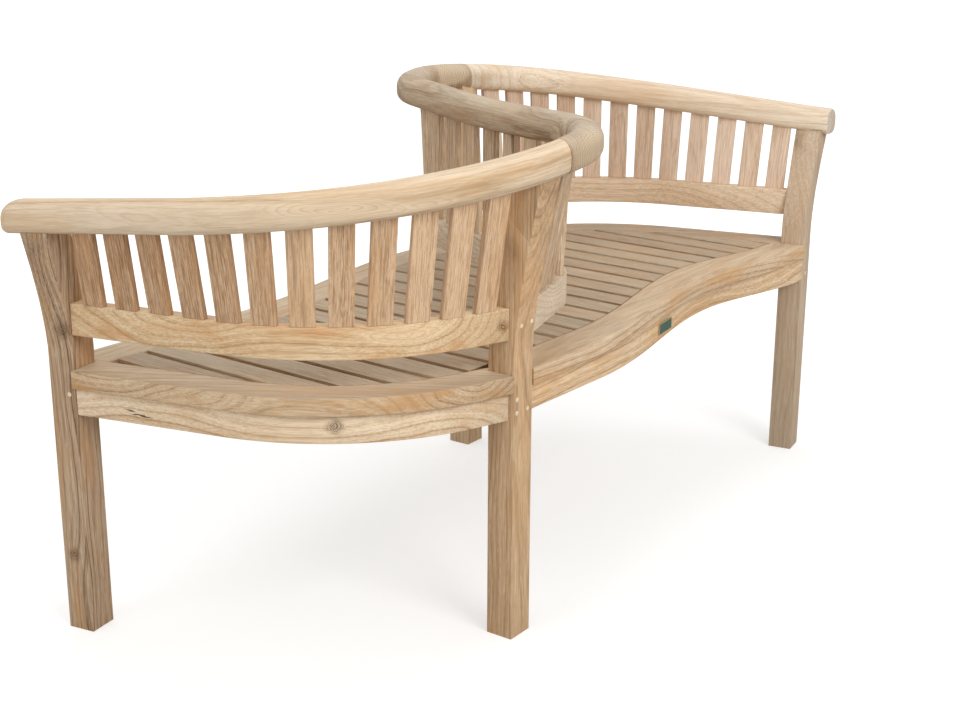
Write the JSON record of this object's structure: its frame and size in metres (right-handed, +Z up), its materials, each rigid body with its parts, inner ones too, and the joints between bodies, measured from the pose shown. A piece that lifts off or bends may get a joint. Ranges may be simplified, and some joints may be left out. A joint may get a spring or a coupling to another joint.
{
  "type": "curved garden bench",
  "caption": "S-shaped wooden garden bench with a slatted back that swings from one side to the other, so that two people sit facing opposite ways.",
  "frame": {"origin": "on the floor, at the middle of the bench's outline seen from above, which is 15 mm in +X and 20 mm in -Y from the point midway between the two end posts and midway between the two corner posts", "axes": "+Z up; +X along the bench's length, from the left seat to the right seat; +Y across the bench, the way that the left seat opens, while the right seat opens towards -Y"},
  "size_m": [1.6632, 0.7378, 0.8185],
  "materials": {
    "teak_rail": "sanded, dry and untreated",
    "teak_post": "sanded, dry and untreated",
    "teak_board": "sanded, dry and untreated",
    "teak_apron": "sanded, dry and untreated",
    "teak_slat": "planed, dry and untreated",
    "teak_seat": "planed, slightly greyed",
    "teak_underside": "sawn"
  },
  "bodies": {
    "root": {"post_left_end": "teak_post", "post_left_corner": "teak_post", "post_right_end": "teak_post", "post_right_corner": "teak_post", "top_rail_left": "teak_rail", "top_rail_middle": "teak_rail", "top_rail_right": "teak_rail", "border_back_left": "teak_board", "border_back_right": "teak_board", "border_front_right": "teak_board", "border_front_left": "teak_board", "apron_back_left": "teak_apron", "apron_back_right": "teak_apron", "apron_front_right": "teak_apron", "apron_front_left": "teak_apron", "back_rail_left": "teak_apron", "back_rail_right": "teak_apron", "back_rail_middle": "teak_apron", "back_slat_left_01": "teak_slat", "back_slat_left_02": "teak_slat", "back_slat_left_03": "teak_slat", "back_slat_left_04": "teak_slat", "back_slat_left_05": "teak_slat", "back_slat_left_06": "teak_slat", "back_slat_left_07": "teak_slat", "back_slat_left_08": "teak_slat", "back_slat_left_09": "teak_slat", "back_slat_left_10": "teak_slat", "back_slat_left_11": "teak_slat", "back_slat_left_12": "teak_slat", "back_slat_right_01": "teak_slat", "back_slat_right_02": "teak_slat", "back_slat_right_03": "teak_slat", "back_slat_right_04": "teak_slat", "back_slat_right_05": "teak_slat", "back_slat_right_06": "teak_slat", "back_slat_right_07": "teak_slat", "back_slat_right_08": "teak_slat", "back_slat_right_09": "teak_slat", "back_slat_right_10": "teak_slat", "back_slat_right_11": "teak_slat", "back_slat_right_12": "teak_slat", "back_slat_middle_01": "teak_slat", "back_slat_middle_02": "teak_slat", "back_slat_middle_03": "teak_slat", "back_slat_middle_04": "teak_slat", "back_slat_middle_05": "teak_slat", "back_slat_middle_06": "teak_slat", "back_slat_middle_07": "teak_slat", "back_slat_middle_08": "teak_slat", "back_slat_middle_09": "teak_slat", "back_slat_middle_10": "teak_slat", "back_slat_middle_11": "teak_slat", "back_slat_middle_12": "teak_slat", "back_slat_middle_13": "teak_slat", "back_slat_middle_14": "teak_slat", "back_slat_middle_15": "teak_slat", "seat_panel_left": "teak_seat", "seat_panel_right": "teak_seat", "seat_cross_rail": "teak_underside"}
  },
  "joints": []
}
